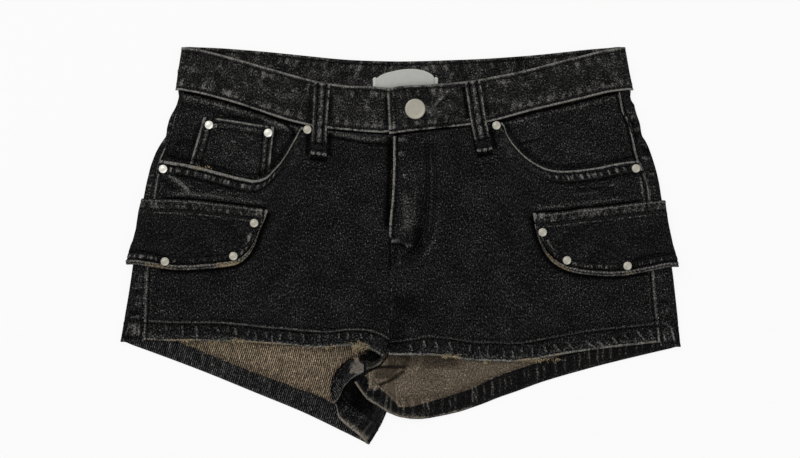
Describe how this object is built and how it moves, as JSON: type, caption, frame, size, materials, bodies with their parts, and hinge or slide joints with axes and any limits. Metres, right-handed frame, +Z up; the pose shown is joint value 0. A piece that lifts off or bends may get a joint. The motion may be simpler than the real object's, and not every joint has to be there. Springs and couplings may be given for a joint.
{
  "type": "cargo shorts",
  "caption": "Low-rise denim cargo shorts laid flat, with curved front pockets, a coin pocket, pointed-corner pocket flaps at the sides, belt loops, a button waistband and flat rivets.",
  "frame": {"origin": "middle of the outline, on the surface the shorts lie on", "axes": "+X to the wearer's left, +Y from the hems to the waist, +Z up from the surface, out of the front of the shorts"},
  "size_m": [0.4598, 0.3252, 0.0124],
  "materials": {
    "denim": "washed black twill, speckled, matte",
    "denim_back": "washed black twill outside, grey-brown inside, matte",
    "denim_facing": "washed black twill, matte",
    "denim_flap": "washed black twill with a faded tan piped edge, matte",
    "denim_band": "washed black twill, puckered and faded at the seams, matte",
    "denim_loop": "washed black twill, faded edges, matte",
    "label_weave": "fine plain weave, blank",
    "button_metal": "satin nickel",
    "rivet_metal": "satin nickel"
  },
  "bodies": {
    "root": {"back_panel_right": "denim_back", "back_panel_left": "denim_back", "front_panel_right": "denim", "front_panel_left": "denim", "pocket_facing_right": "denim_facing", "pocket_facing_left": "denim_facing", "coin_pocket": "denim_facing", "pocket_flap_right": "denim_flap", "pocket_flap_left": "denim_flap", "waistband": "denim_band", "belt_loop_front_right": "denim_loop", "belt_loop_front_left": "denim_loop", "belt_loop_back_right": "denim_loop", "belt_loop_back_centre": "denim_loop", "belt_loop_back_left": "denim_loop", "label": "label_weave", "button": "button_metal", "rivet_coin_outer": "rivet_metal", "rivet_coin_inner": "rivet_metal", "rivet_right_mouth_inner": "rivet_metal", "rivet_right_mouth_outer": "rivet_metal", "rivet_left_mouth_inner": "rivet_metal", "rivet_left_mouth_outer": "rivet_metal", "rivet_right_flap_top": "rivet_metal", "rivet_right_flap_corner": "rivet_metal", "rivet_right_flap_middle": "rivet_metal", "rivet_left_flap_top": "rivet_metal", "rivet_left_flap_corner": "rivet_metal", "rivet_left_flap_middle": "rivet_metal"}
  },
  "joints": []
}
